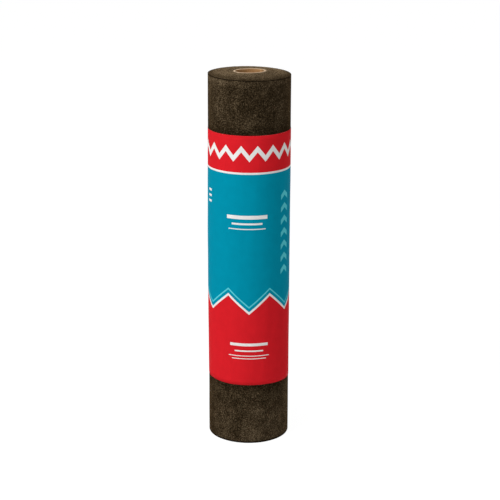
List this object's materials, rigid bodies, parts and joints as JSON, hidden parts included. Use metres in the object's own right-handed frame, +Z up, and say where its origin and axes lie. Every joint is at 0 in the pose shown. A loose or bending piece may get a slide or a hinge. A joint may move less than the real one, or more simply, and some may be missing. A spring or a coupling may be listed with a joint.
{
  "type": "roll of roofing felt",
  "caption": "Roll of smooth bitumen roofing felt wound on a paper core tube and closed by a printed paper wrapper, standing on its end.",
  "frame": {"origin": "on the core's axis at the floor that the roll stands on", "axes": "+Z up along the core's axis, -Y towards the front of the wrapper, +X to the viewer's right"},
  "size_m": [0.2187, 0.2175, 1.0076],
  "materials": {
    "felt": "dark brown bitumen sheet dusted with fine sand, matt and rough",
    "core_paper": "spiral-wound brown paperboard, matt",
    "wrapper_paper": "printed paper, teal and red, satin"
  },
  "bodies": {
    "root": {"felt_roll": "felt", "core_tube": "core_paper", "label_wrap": "wrapper_paper"}
  },
  "joints": []
}
